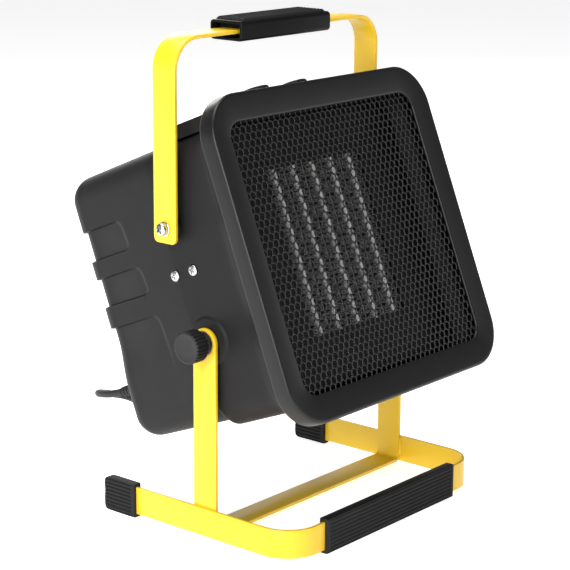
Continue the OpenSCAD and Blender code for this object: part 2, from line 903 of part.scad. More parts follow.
base_frame();
upright_bracket();
weld_beads();
foot_cap_left();
foot_cap_right();
front_foot_sleeve();
clamp_knob_left();
clamp_knob_right();
clamp_stud_left();
clamp_stud_right();
clamp_washer_left();
clamp_washer_right();
friction_washers();
pivot_inserts();
housing();
rear_cover();
rear_cover_screws();
bezel();
bezel_screws();
grille();
side_screws();
control_panel();
thermostat_knob();
thermostat_shaft();
thermostat_body();
selector_knob();
selector_shaft();
selector_switch();
baffle_plate();
ptc_bars();
heater_fins();
element_holders();
thermal_cutout();
fan_duct();
motor_bracket();
fan_motor();
motor_shaft();
fan_impeller();
terminal_block();
wiring();
strain_relief();
handle_strap();
handle_grip();
grip_pad();
handle_bolts();
handle_washers();
handle_spring_washers();
handle_spacers();
cord_lead();
cord_coil();
cord_tail();
cord_tie();
plug();
plug_pins();
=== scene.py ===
# %% [markdown]
# # A portable ceramic heater, piece by piece
#
# The engineering model already holds every part at its true size and place. This lesson gives the
# visible ones their real surfaces: moulded plastic, powder-coated flat bar, ribbed rubber, punched
# sheet and folded fins. Each step says what the piece is, and why it is made the way it is.

# %% Load the engineering model
import json
import math

import bmesh
import bpy
from mathutils import Matrix, Vector


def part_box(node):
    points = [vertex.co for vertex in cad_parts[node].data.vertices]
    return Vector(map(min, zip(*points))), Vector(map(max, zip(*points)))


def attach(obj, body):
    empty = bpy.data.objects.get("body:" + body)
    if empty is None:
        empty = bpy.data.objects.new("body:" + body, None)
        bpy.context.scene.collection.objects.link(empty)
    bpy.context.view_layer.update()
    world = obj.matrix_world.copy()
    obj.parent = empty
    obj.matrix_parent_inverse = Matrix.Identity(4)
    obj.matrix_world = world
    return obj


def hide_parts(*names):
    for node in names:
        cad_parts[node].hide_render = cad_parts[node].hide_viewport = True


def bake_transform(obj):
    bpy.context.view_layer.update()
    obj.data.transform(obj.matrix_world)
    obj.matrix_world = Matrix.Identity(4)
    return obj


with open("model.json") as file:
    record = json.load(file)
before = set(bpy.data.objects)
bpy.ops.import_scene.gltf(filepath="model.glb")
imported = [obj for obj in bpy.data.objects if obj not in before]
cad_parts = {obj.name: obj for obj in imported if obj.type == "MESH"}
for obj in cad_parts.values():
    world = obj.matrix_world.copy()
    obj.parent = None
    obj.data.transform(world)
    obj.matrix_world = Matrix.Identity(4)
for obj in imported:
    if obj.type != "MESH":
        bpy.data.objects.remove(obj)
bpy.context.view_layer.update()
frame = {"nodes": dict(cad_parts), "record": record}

MM = 0.001

# %% [markdown]
# ## Two frames of reference
#
# The stand is square to the floor, but the heater's body leans back in it. Measuring the body along
# its own directions keeps every number simple: *x* to the side, *d* forward from the tilt axis and
# *u* up the body. The directions come from the joints, so a changed tilt would carry through.

# %% Directions of the leaning body
joints = {j["name"]: j for j in frame["record"]["behaviour"]["joints"]}
PIVOT = Vector(joints["tilt"]["pos_m"])
ACROSS = Vector((1, 0, 0))
FORWARD = Vector(joints["fan_spin"]["axis"]).normalized()
UP = Vector(joints["thermostat_turn"]["axis"]).normalized()


def on_body(x, d, u):
    """A point measured on the leaning body, in millimetres from the middle of the tilt axis."""
    return PIVOT + MM * (x * ACROSS + d * FORWARD + u * UP)


def on_stand(x, y, z):
    """A point measured on the upright stand: y backwards from the tilt axis, z from the floor."""
    return Vector((MM * x, PIVOT.y + MM * y, MM * z))


# The rear wall's distance behind the tilt axis; the cover on it is 3 mm thick
BACK = round(-min((v.co - PIVOT).dot(FORWARD) for v in frame["nodes"]["housing"].data.vertices) / MM, 1)
print("rear wall", BACK, "mm behind the tilt axis")
print("tilt axis at", tuple(round(v, 4) for v in PIVOT))

# %% [markdown]
# ## Camera and studio
#
# A long lens from the front left, a little above the heater, gives the flat look of a product
# picture. The backdrop is one pale floor. The air glows in a thin band at the horizon, so that the
# floor's far edge runs into white, and it is dim above. A big soft light on the left makes the flat
# bar glow, while the front of the heater, which faces away from it, stays dark.

# %% Camera
camera_data = bpy.data.cameras.new("studio_camera")
camera = bpy.data.objects.new("studio_camera", camera_data)
bpy.context.scene.collection.objects.link(camera)
bpy.context.scene.camera = camera
FRAME_PX, FOCAL_PX = 570, 1897.2
camera_data.sensor_width = 36
camera_data.lens = FOCAL_PX / FRAME_PX * camera_data.sensor_width
turn, dip, roll = math.radians(-50.19), math.radians(14.14), math.radians(0.40)
back = Vector((math.sin(turn) * math.cos(dip), -math.cos(turn) * math.cos(dip), math.sin(dip)))
level = Vector((math.cos(turn), math.sin(turn), 0))
rise = back.cross(level)
right = level * math.cos(roll) + rise * math.sin(roll)
top = rise * math.cos(roll) - level * math.sin(roll)
camera.matrix_world = Matrix((
    (right.x, top.x, back.x, -1.2645),
    (right.y, top.y, back.y, PIVOT.y - 1.0316),
    (right.z, top.z, back.z, 0.6107),
    (0, 0, 0, 1),
))
camera_data.clip_start, camera_data.clip_end = 0.05, 50
print("lens", round(camera_data.lens, 1), "mm")


# %% Floor and lights
def softbox(name, place, aim, size, power, tint=(1, 1, 1)):
    """A square area light that faces a point."""
    data = bpy.data.lights.new(name, "AREA")
    data.shape, data.size, data.energy, data.color = "SQUARE", size, power, tint
    lamp = bpy.data.objects.new(name, data)
    bpy.context.scene.collection.objects.link(lamp)
    lamp.location = place
    lamp.rotation_euler = (Vector(aim) - Vector(place)).to_track_quat("-Z", "Y").to_euler()
    return lamp


MIDDLE = (0, 0, 0.2)
softbox("key_light", (-2.0, -0.55, 0.9), MIDDLE, 1.5, 50)
softbox("top_light", (-0.2, 0.3, 2.3), MIDDLE, 1.4, 42)
softbox("front_light", (0.9, -2.0, 0.9), MIDDLE, 1.0, 2.5)
softbox("back_light", (1.3, 1.9, 1.3), MIDDLE, 1.2, 22)

world = bpy.data.worlds.new("studio_air")
world.use_nodes = True
bpy.context.scene.world = world
air = world.node_tree.nodes["Background"]
air.inputs["Color"].default_value = (1, 1, 1, 1)
direction = world.node_tree.nodes.new("ShaderNodeTexCoord")
height = world.node_tree.nodes.new("ShaderNodeSeparateXYZ")
fade = world.node_tree.nodes.new("ShaderNodeMapRange")
fade.interpolation_type = "SMOOTHSTEP"
HORIZON_TOP, AIR_FROM = 0.065, 0.17
HORIZON_GLOW, AIR_GLOW = 1.0, 0.17
for socket, value in (
    ("From Min", HORIZON_TOP), ("From Max", AIR_FROM), ("To Min", HORIZON_GLOW), ("To Max", AIR_GLOW),
):
    fade.inputs[socket].default_value = value
for start, end in (
    (direction.outputs["Generated"], height.inputs[0]), (height.outputs["Z"], fade.inputs["Value"]),
    (fade.outputs["Result"], air.inputs["Strength"]),
):
    world.node_tree.links.new(start, end)
bpy.context.scene.view_settings.view_transform = "Standard"

floor_mesh = bpy.data.meshes.new("studio_floor")
REACH = 12  # metres from the middle to each side
floor_mesh.from_pydata(
    [(-REACH, -REACH, 0), (REACH, -REACH, 0), (REACH, REACH, 0), (-REACH, REACH, 0)], [], [(0, 1, 2, 3)]
)
studio_floor = bpy.data.objects.new("studio_floor", floor_mesh)
bpy.context.scene.collection.objects.link(studio_floor)
print("lights:", len(bpy.data.lights))


# %% [markdown]
# ## Shader maths as plain expressions
#
# Wiring nodes by hand hides the idea of a finish. A `Wire` is one socket that can be added and
# multiplied like a number, and a `Finish` is one material that makes any other node in one call.

# %% Wires and finishes
class Wire:
    """The value that comes out of one node, ready for arithmetic."""

    def __init__(self, finish, socket):
        self.finish, self.socket = finish, socket

    def _math(self, operation, first, second):
        return self.finish.node("Math", {"operation": operation}, {0: first, 1: second})

    def __add__(self, other):
        return self._math("ADD", self, other)

    __radd__ = __add__

    def __mul__(self, other):
        return self._math("MULTIPLY", self, other)

    __rmul__ = __mul__

    def __sub__(self, other):
        return self._math("SUBTRACT", self, other)

    def __rsub__(self, other):
        return self._math("SUBTRACT", other, self)


class Finish:
    """One material round a Principled shader."""

    def __init__(self, name, slot):
        self.slot = slot
        self.material = bpy.data.materials.new(name)
        self.material.use_nodes = True
        self.tree = self.material.node_tree
        self.shader = self.tree.nodes["Principled BSDF"]

    def node(self, kind, settings=None, inputs=None, output=0):
        """Any node: its settings first, then the values or links of its sockets."""
        made = self.tree.nodes.new("ShaderNode" + kind)
        for name, value in (settings or {}).items():
            if name == "stops":
                for stop, (place, colour) in zip(made.color_ramp.elements, value):
                    stop.position, stop.color = place, colour
            else:
                setattr(made, name, value)
        for name, value in (inputs or {}).items():
            self.feed(made.inputs[name], value)
        return Wire(self, made.outputs[output])

    def feed(self, socket, value):
        if isinstance(value, Wire):
            self.tree.links.new(value.socket, socket)
        else:
            socket.default_value = value

    def set(self, **sockets):
        """Feeds the shader's own sockets; an underscore stands for a space."""
        for name, value in sockets.items():
            self.feed(self.shader.inputs[name.replace("_", " ")], value)
        return self

    def place(self):
        return self.node("TexCoord", output="Object")

    def noise(self, scale, detail=2, roughness=0.5, where=None):
        return self.node("TexNoise", {}, {
            "Vector": where or self.place(), "Scale": scale, "Detail": detail, "Roughness": roughness,
        })

    def between(self, mask, low, high):
        """A number that goes from low to high as the mask goes from 0 to 1."""
        return mask * (high - low) + low

    def tint(self, mask, first, second):
        """A colour that goes from the first to the second with the mask."""
        return self.node("Mix", {"data_type": "RGBA"}, {0: mask, 6: (*first, 1), 7: (*second, 1)}, output=2)

    def bump(self, height, distance, strength=1.0, under=None):
        inputs = {"Strength": strength, "Distance": distance, "Height": height}
        if under:
            inputs["Normal"] = under
        return self.node("Bump", {}, inputs)


# %% [markdown]
# ## The finishes
#
# Powder coat is a thick even paint with a faint orange-peel surface. Moulded plastic takes the
# sandblasted grain of its tool. Both are one colour with a little drift, and their character is in
# the roughness and a bump of the right grain size, so the noise scales are in cycles per metre.

# %% Powder coat on the flat bar
def powder_coat(name, slot, colour, deep, rough, gloss, clear):
    coat = Finish(name, slot)
    drift = coat.noise(18, 3)
    peel = coat.noise(620, 2, 0.4)
    speck = coat.noise(2600, 1)
    under = coat.bump(speck, 0.00001, 0.25)
    return coat.set(
        Base_Color=coat.tint(drift, colour, deep),
        Roughness=coat.between(coat.noise(90, 3), rough, rough + 0.14),
        Normal=coat.bump(peel, 0.00005, 0.35, under),
        Coat_Weight=clear,
        Coat_Roughness=0.25,
        Specular_IOR_Level=gloss,
    )


yellow_coat = powder_coat(
    "yellow_powder_coat", "yellow_steel", (0.86, 0.565, 0.018), (0.83, 0.52, 0.014), 0.33, 0.36, 0.25
)
black_coat = powder_coat(
    "black_sheet_coat", "black_steel", (0.004, 0.004, 0.004), (0.006, 0.006, 0.006), 0.20, 0.5, 0.0
)


# %% Moulded plastics and rubbers
def moulding(name, slot, colour, worn, grain, depth, rough, gloss):
    """Grained plastic or rubber: grain is in cycles per metre and depth in metres."""
    made = Finish(name, slot)
    cloud = made.noise(14, 4, 0.6)
    fine = made.noise(grain, 2, 0.6)
    return made.set(
        Base_Color=made.tint(cloud, colour, worn),
        Roughness=made.between(made.noise(60, 4), rough - 0.06, rough + 0.07),
        Normal=made.bump(fine, depth, 0.5),
        Specular_IOR_Level=gloss,
    )


housing_plastic = moulding(
    "housing_plastic", "housing_plastic",
    (0.009, 0.0085, 0.0092), (0.012, 0.0113, 0.0122), 2100, 0.00006, 0.48, 0.155
)
bezel_plastic = moulding(
    "bezel_plastic", "bezel_plastic",
    (0.006, 0.006, 0.0065), (0.008, 0.008, 0.0085), 2400, 0.00005, 0.34, 0.32
)
knob_plastic = moulding(
    "knob_plastic", "knob_plastic", (0.010, 0.010, 0.0105), (0.014, 0.014, 0.0145), 1800, 0.00006, 0.5, 0.36
)
grip_plastic = moulding(
    "grip_plastic", "housing_plastic",
    (0.004, 0.004, 0.0045), (0.006, 0.006, 0.0065), 2400, 0.00004, 0.42, 0.09
)
duct_plastic = moulding(
    "duct_plastic", "duct_plastic", (0.012, 0.012, 0.012), (0.018, 0.018, 0.018), 1500, 0.00006, 0.6, 0.3
)
fan_plastic = moulding(
    "fan_plastic", "impeller_plastic", (0.05, 0.05, 0.055), (0.06, 0.06, 0.065), 1500, 0.00005, 0.45, 0.4
)
foot_rubber = moulding(
    "foot_rubber", "black_rubber", (0.007, 0.007, 0.007), (0.011, 0.0105, 0.0105), 1400, 0.00009, 0.60, 0.24
)
cord_sheath = moulding(
    "cord_sheath", "cord_rubber", (0.010, 0.010, 0.010), (0.016, 0.016, 0.016), 1700, 0.00005, 0.55, 0.4
)
nylon = moulding(
    "black_nylon", "fibre", (0.016, 0.016, 0.016), (0.022, 0.022, 0.022), 1500, 0.00005, 0.5, 0.4
)
phenolic = moulding("phenolic", "insulator", (0.36, 0.32, 0.24), (0.42, 0.38, 0.30), 1200, 0.00005, 0.4, 0.45)
wire_sleeve = moulding(
    "wire_sleeve", "wire_cover", (0.35, 0.04, 0.03), (0.40, 0.06, 0.04), 900, 0.00004, 0.4, 0.5
)
white_ceramic = moulding(
    "white_ceramic", "ceramic", (0.60, 0.60, 0.585), (0.50, 0.50, 0.487), 1600, 0.00006, 0.5, 0.4
)


# %% Bare and plated metals
def metal(name, slot, colour, dull, rough, streak_scale):
    """Metal with fine streaks: the noise is stretched by scaling its place."""
    made = Finish(name, slot)
    stretched = made.node("Mapping", {}, {0: made.place(), 3: (1, 1, 0.06)})
    streaks = made.noise(streak_scale, 3, 0.6, where=stretched)
    cloud = made.noise(160, 3)
    return made.set(
        Base_Color=made.tint(cloud, colour, dull),
        Metallic=1.0,
        Roughness=made.between(streaks, rough - 0.08, rough + 0.12),
        Normal=made.bump(streaks, 0.00001, 0.4),
    )


zinc = metal("bright_zinc", "zinc_steel", (0.66, 0.66, 0.65), (0.50, 0.51, 0.51), 0.24, 2600)
shaft_steel = metal("shaft_steel", "steel_shaft", (0.62, 0.62, 0.62), (0.52, 0.52, 0.53), 0.22, 3000)
fin_metal = metal("fin_aluminium", "fin_aluminium", (0.46, 0.46, 0.46), (0.36, 0.36, 0.37), 0.40, 1500)
motor_can = metal("motor_can", "motor_steel", (0.40, 0.40, 0.41), (0.32, 0.32, 0.33), 0.35, 1800)
pale_floor = Finish("pale_floor", None)
pale_floor.set(
    Base_Color=pale_floor.tint(pale_floor.noise(3), (0.90, 0.90, 0.90), (0.92, 0.92, 0.92)), Roughness=0.9,
    Specular_IOR_Level=0.0, Emission_Color=(1, 1, 1, 1), Emission_Strength=0.70,
)
studio_floor.data.materials.append(pale_floor.material)
print("finishes:", len(bpy.data.materials))


# %% [markdown]
# ## From outlines to solids
#
# Nearly every piece here is an outline carried along a line: flat bar along its bend, a section of
# rubber along a foot, a square with round corners from the back of the housing to its front. One
# loft makes them all. Faces that meet at a clear angle stay sharp, the rest are shaded smooth.

# %% Mesh helpers
def make_piece(name, points, faces, finish, body, replaces=(), sharp=38):
    """A mesh in metres, in the row frame, with its finish, riding on a body if one is named."""
    mesh = bpy.data.meshes.new(name)
    mesh.from_pydata([tuple(p) for p in points], [], faces)
    mesh.validate()
    skin = bmesh.new()
    skin.from_mesh(mesh)
    bmesh.ops.recalc_face_normals(skin, faces=skin.faces)
    skin.to_mesh(mesh)
    skin.free()
    obj = bpy.data.objects.new(name, mesh)
    bpy.context.scene.collection.objects.link(obj)
    mesh.materials.append(finish.material)
    mesh.shade_smooth()
    mesh.set_sharp_from_angle(angle=math.radians(sharp))
    if body:
        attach(obj, body)
    if replaces:
        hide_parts(*replaces)
    return obj


def loft(rings, caps=(True, True), loop=False):
    """Points and faces of a skin over closed rings of equal length."""
    count = len(rings[0])
    points = [p for ring in rings for p in ring]
    steps = len(rings) if loop else len(rings) - 1
    faces = []
    for i in range(steps):
        a, b = i * count, (i + 1) % len(rings) * count
        for k in range(count):
            m = (k + 1) % count
            faces.append((a + k, a + m, b + m, b + k))
    if not loop and caps[0]:
        faces.append(tuple(range(count - 1, -1, -1)))
    if not loop and caps[1]:
        faces.append(tuple((len(rings) - 1) * count + k for k in range(count)))
    return points, faces


def joined(*parts):
    """Several sets of points and faces as one."""
    points, faces = [], []
    for more_points, more_faces in parts:
        start = len(points)
        points += more_points
        faces += [tuple(start + v for v in face) for face in more_faces]
    return points, faces


def outline(half_w, low, high, r, arc=8, rises=()):
    """A rectangle with round corners, from the bottom of its right side, anticlockwise.
    rises are the heights of the extra points on both sides, from 0 to 1."""
    r = max(r, 0.05)
    base, head = low + r, high - r
    side = [base + (head - base) * f for f in rises]

    def corner(cx, cz, start):
        angles = [math.radians(start + 90 * k / arc) for k in range(arc + 1)]
        return [(cx + r * math.cos(a), cz + r * math.sin(a)) for a in angles]

    return (
        [(half_w, z) for z in side]
        + corner(half_w - r, head, 0)
        + corner(r - half_w, head, 90)
        + [(-half_w, z) for z in reversed(side)]
        + corner(r - half_w, base, 180)
        + corner(half_w - r, base, 270)
    )


def turned(profile, start, axis, sides=48, wobble=None):
    """A turned solid: profile is (distance along the axis, radius) in millimetres.
    wobble(angle, along) scales the radius, for flutes."""
    axis = Vector(axis).normalized()
    helper = Vector((0, 0, 1)) if abs(axis.z) < 0.9 else Vector((1, 0, 0))
    a = axis.cross(helper).normalized()
    b = axis.cross(a)
    rings = []
    for along, radius in profile:
        ring = []
        for k in range(sides):
            angle = 2 * math.pi * k / sides
            r = radius * (wobble(angle, along) if wobble else 1)
            ring.append(start + MM * (along * axis + r * math.cos(angle) * a + r * math.sin(angle) * b))
        rings.append(ring)
    return loft(rings)


def smooth(low, high, value):
    """0 below low, 1 above high, and a soft step between."""
    t = min(max((value - low) / (high - low), 0), 1)
    return t * t * (3 - 2 * t)


print("helpers ready")

# %% [markdown]
# ## The cord
#
# A mains lead is a fixed length of something heavy and springy. It leaves its bend protector
# straight, turns back behind the body, drops to the floor and goes into the coil that stores the
# rest, which is held by a tie. One smooth line of points is drawn first, and a tube follows it.
# The coil has two columns of three slots. Each turn moves to its next slot a little earlier than
# the one below it did, so that the turns lie beside each other and never meet.

# %% The cord's line
CORD_R = 3.5
COIL_X, COIL_Y = 150, 240
SLOTS = [(42, 4.5), (35, 4.5), (35, 11.5), (42, 11.5), (42, 18.5), (35, 18.5)]
TURN_STEPS = 48
LEAD = [
    (-70, 158.0, 84.82), (-70, 170, 80.4), (-69, 182, 77.2), (-64.8, 194, 74.2), (-56.5, 204.2, 70.8),
    (-44.5, 210.6, 66.6), (-30.5, 213, 62), (-16, 213.2, 57), (-2, 213, 50.4),
    (11, 214, 41.5), (23.5, 217, 31),
    (35, 222, 21), (46, 229.5, 12.5), (57, 239, 6.2), (68, 250, 3.6), (82, 261, 3.5), (103, 272, 3.5),
    (126, 279.5, 4), (150, 282, 4.5),
]
TAIL = [
    (150, 275, 18.5), (161, 273.5, 19.8), (170, 268.5, 23.5), (177, 261.5, 29), (181.5, 253.5, 34.5),
    (183.6, 247, 37.6), (184, 240, 39.1),
]


def through(points, steps, first=None, last=None):
    """A smooth line through all points, with the directions at its ends where they are given."""
    points = [Vector(p) for p in points]
    before = points[0] - first if first else 2 * points[0] - points[1]
    after = points[-1] + last if last else 2 * points[-1] - points[-2]
    held = [before] + points + [after]
    line = []
    for i in range(1, len(held) - 2):
        a, b, c, d = held[i - 1 : i + 3]
        for k in range(steps):
            t = k / steps
            line.append(
                0.5 * (
                    2 * b + (c - a) * t + (2 * a - 5 * b + 4 * c - d) * t**2 + (3 * b - a - 3 * c + d) * t**3
                )
            )
    return line + [points[-1]]


def coil_line():
    """Five turns, clockwise from the back; a move takes a sixth of a turn."""
    line = []
    for step in range(1, 5 * TURN_STEPS):
        turns = step / TURN_STEPS
        radius, height = SLOTS[0]
        for move in range(5):
            begin = move + (300 - 65 * move) / 360
            share = smooth(begin, begin + 1 / 6, turns)
            radius += share * (SLOTS[move + 1][0] - SLOTS[move][0])
            height += share * (SLOTS[move + 1][1] - SLOTS[move][1])
        angle = 2 * math.pi * turns
        line.append(Vector((COIL_X + radius * math.sin(angle), COIL_Y + radius * math.cos(angle), height)))
    return line


cord_line = (
    through(LEAD, 4, first=Vector((0, 15, -6.1)), last=Vector((22, 0, 0)))
    + coil_line()
    + through(TAIL, 4, first=Vector((11, 0, 0)), last=Vector((0, -8, 0)))
)
cord_path = [on_stand(*p) for p in cord_line]


# %% The cord's tube
def tube(path, radius, sides=14):
    """A round tube along a line; each ring is turned from the last, so it never twists."""
    rings, side = [], None
    for i, point in enumerate(path):
        way = (path[min(i + 1, len(path) - 1)] - path[max(i - 1, 0)]).normalized()
        side = (way.cross(Vector((0, 0, 1))) if side is None else side - side.dot(way) * way).normalized()
        other = way.cross(side)
        ring = []
        for k in range(sides):
            angle = 2 * math.pi * k / sides
            ring.append(point + MM * radius * (math.cos(angle) * side + math.sin(angle) * other))
        rings.append(ring)
    return loft(rings)


mains_cord = make_piece(
    "mains_cord", *tube(cord_path, CORD_R), cord_sheath, None,
    replaces=("cord_lead", "cord_coil", "cord_tail"),
)
on_stand(57, 239, 6.2)
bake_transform(mains_cord)

# %% [markdown]
# ## Plug and bend protector
#
# Both are moulded onto the cord, so they are turned shapes. Rings cut into the taper let it bend a
# little more at each step, which is what saves the copper inside.

# %% Plug
PLUG_AT = on_stand(*TAIL[-1])
plug_profile = [(0, 4.4), (0.4, 4.8)]
for step in range(5):
    begin = 1.5 + 3.1 * step
    plug_profile += [(begin, 5.2 + 0.75 * step), (begin + 1.7, 5.5 + 0.75 * step)]
    plug_profile += [(begin + 1.9, 4.8 + 0.7 * step), (begin + 2.9, 5.0 + 0.7 * step)]
plug_profile += [
    (18, 10.5), (19.5, 12.5), (23, 16.0), (25, 16.8), (27, 17.0), (41.4, 17.0), (42.6, 16.4), (43, 15.2)
]


def plug_grip(angle, along):
    """Two shallow hollows for finger and thumb."""
    return 1 - 0.09 * smooth(24, 29, along) * smooth(41, 36, along) * abs(math.cos(angle)) ** 6


plug_body = make_piece(
    "plug_body", *turned(plug_profile, PLUG_AT, (0, -1, 0), 64, plug_grip), cord_sheath, "stand",
    replaces=("plug",)
)

# %% Bend protector
relief_profile = [(-3, 6), (0, 6), (0, 8.4), (0.5, 9), (2.5, 9), (3, 8.4), (3.2, 6.6)]
for step in range(8):
    begin = 4.5 + 4.3 * step
    wide = 6.5 - 0.25 * step
    relief_profile += [
        (begin, wide), (begin + 2.3, wide - 0.15), (begin + 2.5, wide - 1.0), (begin + 4.0, wide - 1.1)
    ]
relief_profile += [(39, 4.4)]
make_piece(
    "bend_protector", *turned(relief_profile, on_body(-70, -BACK - 3, -24), -FORWARD, 40), cord_sheath,
    "heater",
    replaces=("strain_relief",),
)
print("plug and bend protector made")

# %% [markdown]
# ## Flat bar
#
# The stand and the handle are bent from 25 mm flat bar. Their model is exact, but real bar has
# slightly rounded edges that catch the light and hold the powder coat. A copy of each mesh has its
# flat faces merged and its sharp edges bevelled by less than half a millimetre.


# %% Bevelled copies of exact parts
def softened(node, name, finish, body, width=0.4, segments=2, angle=32):
    """A copy of an engineering part with its sharp edges rounded; it stands for the part."""
    source = frame["nodes"][node].data
    skin = bmesh.new()
    skin.from_mesh(source)
    bmesh.ops.remove_doubles(skin, verts=skin.verts, dist=0.000002)
    bmesh.ops.dissolve_limit(skin, angle_limit=math.radians(0.6), verts=skin.verts, edges=skin.edges)
    edges = [e for e in skin.edges if len(e.link_faces) == 2 and e.calc_face_angle(0) > math.radians(angle)]
    bmesh.ops.bevel(
        skin, geom=edges, offset=MM * width, segments=segments, profile=0.5, affect="EDGES",
        clamp_overlap=True
    )
    mesh = bpy.data.meshes.new(name)
    skin.to_mesh(mesh)
    skin.free()
    obj = bpy.data.objects.new(name, mesh)
    bpy.context.scene.collection.objects.link(obj)
    mesh.materials.clear()
    mesh.materials.append(finish.material)
    for face in mesh.polygons:
        face.material_index = 0
    mesh.shade_smooth()
    mesh.set_sharp_from_angle(angle=math.radians(40))
    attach(obj, body)
    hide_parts(node)
    return obj


softened("base_frame", "base_bar", yellow_coat, "stand", 0.45)
softened("upright_bracket", "upright_bar", yellow_coat, "stand", 0.45)
softened("handle_strap", "handle_bar", yellow_coat, "handle", 0.45)
print("flat bar edges rounded")

# %% [markdown]
# ## Rubber feet
#
# The caps and the sleeve are pushed over the bar. Fine ribs along them grip the floor and hide
# scuffs, and a plain rim stops the mouth from tearing. Each is one section carried along the bar,
# and the ribs are part of the section, so they are real grooves and not a drawn pattern.


# %% Ribbed sections
def ribbed_section(half_w, height, ribs, groove, edge=1.0):
    """Half width and height in millimetres, with grooves on both upright sides."""
    samples = 6 * ribs
    side = []
    for k in range(samples + 1):
        share = k / samples
        swell = 0.5 - 0.5 * math.cos(2 * math.pi * ribs * share)
        side.append((half_w - groove * (1 - swell) ** 1.3, 1.6 + (height - 3.2) * share))
    low = [(half_w - edge, 0.0), (half_w - 0.3 * edge, 0.3 * edge)]
    high = [(half_w - 0.3 * edge, height - 0.3 * edge), (half_w - edge, height)]
    return low + side + high + [(-a, z) for a, z in reversed(low + side + high)]


CAP_RIBS, SLEEVE_RIBS, RUBBER_H = 8, 8, 31


def foot_cap(name, node):
    low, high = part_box(node)
    mid_x = (low[0] + high[0]) / 2 / MM
    front, rear = (low[1] - PIVOT.y) / MM, (high[1] - PIVOT.y) / MM
    rings = []
    stations = [(0, 0), (0.5, 0), (3.4, 0), (3.8, 1.0)] + [(6 + 4 * k, 1.0) for k in range(7)]
    length = rear - front
    stations += [(length - 5 + 5 * math.sin(math.radians(a)), 1.0) for a in range(15, 91, 15)]
    for along, groove in stations:
        over = max(along - (length - 5), 0)
        drop = 5 - math.sqrt(max(25 - over * over, 0))
        scale = (RUBBER_H - 2 * drop) / RUBBER_H
        slim = 0.5 if along == 0 or along > length - 0.4 else 0
        section = ribbed_section(4.5 - slim, RUBBER_H, CAP_RIBS, groove)
        rings.append([on_stand(mid_x + x, front + along, drop + z * scale) for x, z in section])
    return make_piece(name, *loft(rings), foot_rubber, "stand", replaces=(node,), sharp=50)


foot_cap("rear_foot_left", "foot_cap_left")
foot_cap("rear_foot_right", "foot_cap_right")
low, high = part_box("front_foot_sleeve")
sleeve_mid = ((low[1] + high[1]) / 2 - PIVOT.y) / MM
sleeve_half = (high[0] - low[0]) / 2 / MM
sleeve_rings = []
for x, groove, slim in [
    (-1, 0, 0.5), (-0.995, 0, 0), (-0.965, 0, 0), (-0.96, 1.1, 0), (0, 1.1, 0),
    (0.96, 1.1, 0), (0.965, 0, 0), (0.995, 0, 0), (1, 0, 0.5),
]:
    section = ribbed_section(4.5 - slim, RUBBER_H, SLEEVE_RIBS, groove)
    sleeve_rings.append([on_stand(x * sleeve_half, sleeve_mid - y, z) for y, z in section])
make_piece(
    "front_foot", *loft(sleeve_rings), foot_rubber, "stand", replaces=("front_foot_sleeve",), sharp=50
)
print("rubber feet:", CAP_RIBS, "and", SLEEVE_RIBS, "ribs")

# %% [markdown]
# ## Housing
#
# The housing is one moulding that tapers to the back, with three shallow bands pressed into each
# side and round the rear corners. It could be modelled with booleans, but a loft keeps the taper,
# the round corners and the flare behind the front frame in one clean skin. The bands are then moved
# inwards point by point, with extra rows of points at their edges so that the steps stay crisp.

# %% Housing outline at each depth
TOP, BOTTOM, EDGE_R = 170, -70, 22
BANDS = [(96, 122.5, -67, -71), (53.8, 78.8, -58, -62), (-21, 33.8, -50, -56)]
STEP, BAND_R = 0.55, 7


def housing_half_width(d):
    taper = 126 - 12 * min(max((-15 - d) / (BACK - EDGE_R - 15), 0), 1)
    return taper + 14 * max((d - 46) / 27, 0) ** 1.8


def band_depth(x, d, u):
    """How far a point of the side is pressed in."""
    fade_in = smooth(92.5, 100, abs(x))
    for number, (low, high, near_low, near_high) in enumerate(BANDS):
        if not low - STEP <= u <= high + STEP:
            continue
        share = min(max((u - low) / (high - low), 0), 1)
        near = near_low + share * (near_high - near_low)
        above, below = u - high + BAND_R, low + BAND_R - u
        beyond = max(above, 0 if number == 2 else below, 0)
        near -= BAND_R - math.sqrt(max(BAND_R**2 - min(beyond, BAND_R) ** 2, 0))
        across = smooth(high + STEP, high - STEP, u)
        across *= smooth(low, low + 45, u) if number == 2 else smooth(low - STEP, low + STEP, u)
        along = smooth(near + 2.2, near - 2.2, d)
        return across * along * fade_in * (1.3 + 2.6 * smooth(-62, -118, d))
    return 0


EDGE_MARKS = (-STEP, -0.15, 0.15, STEP, 1.2, 2.2, 3.6, 5.2, 7)
marks = sorted(
    {round(low + v, 2) for low, *_ in BANDS for v in EDGE_MARKS}
    | {round(high - v, 2) for _, high, *_ in BANDS for v in EDGE_MARKS}
    | set(range(-42, 147, 6))
)
STRAIGHT_LOW, STRAIGHT_HIGH = BOTTOM + EDGE_R, TOP - EDGE_R
rises = [(u - STRAIGHT_LOW) / (STRAIGHT_HIGH - STRAIGHT_LOW) for u in marks]
print("rows up the side:", len(rises))

